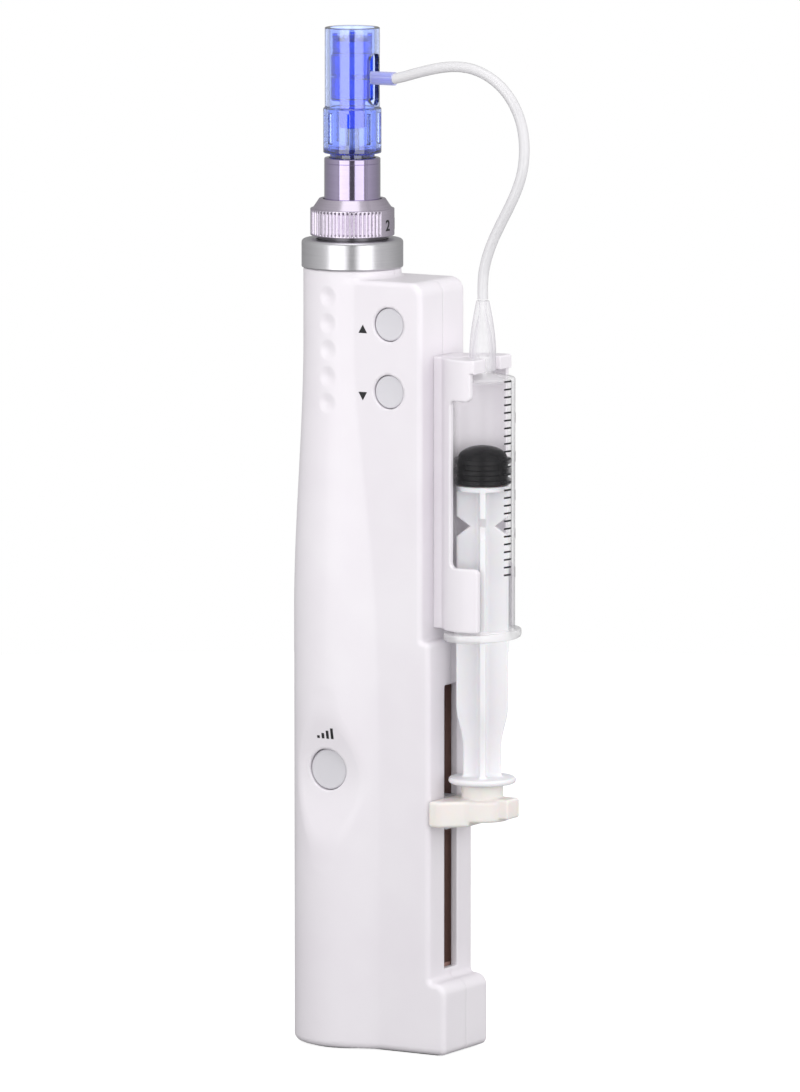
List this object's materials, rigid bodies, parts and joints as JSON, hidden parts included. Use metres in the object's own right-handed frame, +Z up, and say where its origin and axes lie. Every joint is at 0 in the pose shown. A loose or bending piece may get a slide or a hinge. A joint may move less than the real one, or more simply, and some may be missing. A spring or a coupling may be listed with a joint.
{
  "type": "microneedling pen",
  "caption": "Cordless microneedling pen with a depth ring, a clear needle cartridge and a side-mounted syringe whose motor-driven plunger feeds the cartridge through a hose.",
  "frame": {"origin": "centre of the round grip at the underside of the foot pad", "axes": "+Z up along the grip's axis to the cartridge, -Y towards the buttons, +X towards the syringe"},
  "size_m": [0.0563, 0.0252, 0.2206],
  "materials": {
    "pearl_plastic": "satin pearl white",
    "button_plastic": "light grey, fine matt",
    "satin_aluminium": "satin turned",
    "lilac_aluminium": "polished, anodised lilac",
    "blue_clear_plastic": "transparent blue",
    "clear_plastic": "clear",
    "clear_hose": "translucent soft tube",
    "white_plastic": "smooth white",
    "cream_plastic": "cream, moulded",
    "black_rubber": "smooth black",
    "grey_rubber": "matt grey",
    "brown_plastic": "dark brown, matt",
    "steel": "bright",
    "brass": "turned",
    "circuit_board": "solder mask",
    "cell_film": "shrink film",
    "lead_wire": "insulated wire"
  },
  "bodies": {
    "pen_body": {"front_shell": "pearl_plastic", "rear_shell": "pearl_plastic", "foot_pad": "grey_rubber", "shell_screw_lower": "steel", "shell_screw_middle": "steel", "shell_screw_upper": "steel", "up_switch": "steel", "down_switch": "steel", "speed_switch": "steel", "button_board": "circuit_board", "control_board": "circuit_board", "neck_tube": "satin_aluminium", "collar_ring": "satin_aluminium", "rod_bush": "brass", "return_spring": "steel", "needle_motor": "steel", "battery_cell": "cell_film", "guide_channel": "brown_plastic", "screw_bearing_lower": "brass", "screw_bearing_upper": "brass", "drive_gearbox": "brass", "drive_motor": "steel", "syringe_cradle": "pearl_plastic", "syringe_barrel": "clear_plastic", "luer_hub": "clear_plastic", "delivery_hose": "clear_hose", "cradle_screw_lower": "steel", "cradle_screw_upper": "steel", "charging_socket": "steel", "charging_board": "circuit_board", "battery_lead": "lead_wire", "motor_lead": "lead_wire", "button_lead": "lead_wire"},
    "depth_dial": {"depth_ring": "lilac_aluminium"},
    "nose": {"nose_sleeve": "lilac_aluminium", "cartridge_shell": "blue_clear_plastic"},
    "needle_unit": {"push_rod": "steel", "needle_block": "blue_clear_plastic", "needle_plate": "steel"},
    "motor_rotor": {"motor_shaft": "steel", "drive_cam": "white_plastic"},
    "screw_shaft": {"lead_screw": "steel", "screw_coupling": "brass", "gearbox_shaft": "steel"},
    "feed_carriage": {"slide_carriage": "button_plastic", "drive_nut": "brass", "pusher_arm": "cream_plastic"},
    "plunger": {"plunger_rod": "white_plastic", "rubber_stopper": "black_rubber"},
    "up_key": {"up_button": "button_plastic"},
    "down_key": {"down_button": "button_plastic"},
    "speed_key": {"speed_button": "button_plastic"}
  },
  "joints": [
    {"name": "depth_turn", "type": "hinge", "parent": "pen_body", "child": "depth_dial", "pos_m": [0, 0, 0.1787], "axis": [0, 0, 1], "range_deg": [-150, 150]},
    {"name": "nose_slide", "type": "slide", "parent": "pen_body", "child": "nose", "axis": [0, 0, 1], "range_m": [-0.00125, 0.00125]},
    {"name": "needle_stroke", "type": "slide", "parent": "pen_body", "child": "needle_unit", "axis": [0, 0, 1], "range_m": [0, 0.0025], "stiffness_N_per_m": 200, "deforming": ["delivery_hose", "return_spring"]},
    {"name": "cam_spin", "type": "hinge", "parent": "pen_body", "child": "motor_rotor", "pos_m": [0, 0, 0.13], "axis": [0, 0, 1], "continuous": true},
    {"name": "screw_turn", "type": "hinge", "parent": "pen_body", "child": "screw_shaft", "pos_m": [0.0154, 0, 0.05], "axis": [0, 0, 1], "range_deg": [-3240, 1440]},
    {"name": "feed_slide", "type": "slide", "parent": "pen_body", "child": "feed_carriage", "axis": [0, 0, 1], "range_m": [-0.027, 0.012]},
    {"name": "plunger_slide", "type": "slide", "parent": "pen_body", "child": "plunger", "axis": [0, 0, 1], "range_m": [-0.027, 0.012]},
    {"name": "up_press", "type": "slide", "parent": "pen_body", "child": "up_key", "axis": [0, 1, 0], "range_m": [0, 0.0006], "stiffness_N_per_m": 200},
    {"name": "down_press", "type": "slide", "parent": "pen_body", "child": "down_key", "axis": [0, 1, 0], "range_m": [0, 0.0006], "stiffness_N_per_m": 200},
    {"name": "speed_press", "type": "slide", "parent": "pen_body", "child": "speed_key", "axis": [0, 1, 0], "range_m": [0, 0.0006], "stiffness_N_per_m": 200}
  ],
  "couplings": [
    {"joint": "depth_turn", "follows": "nose_slide", "rad_per_m": -2094.4},
    {"joint": "screw_turn", "follows": "feed_slide", "rad_per_m": 2094.4},
    {"joint": "plunger_slide", "follows": "feed_slide", "ratio": 1}
  ]
}
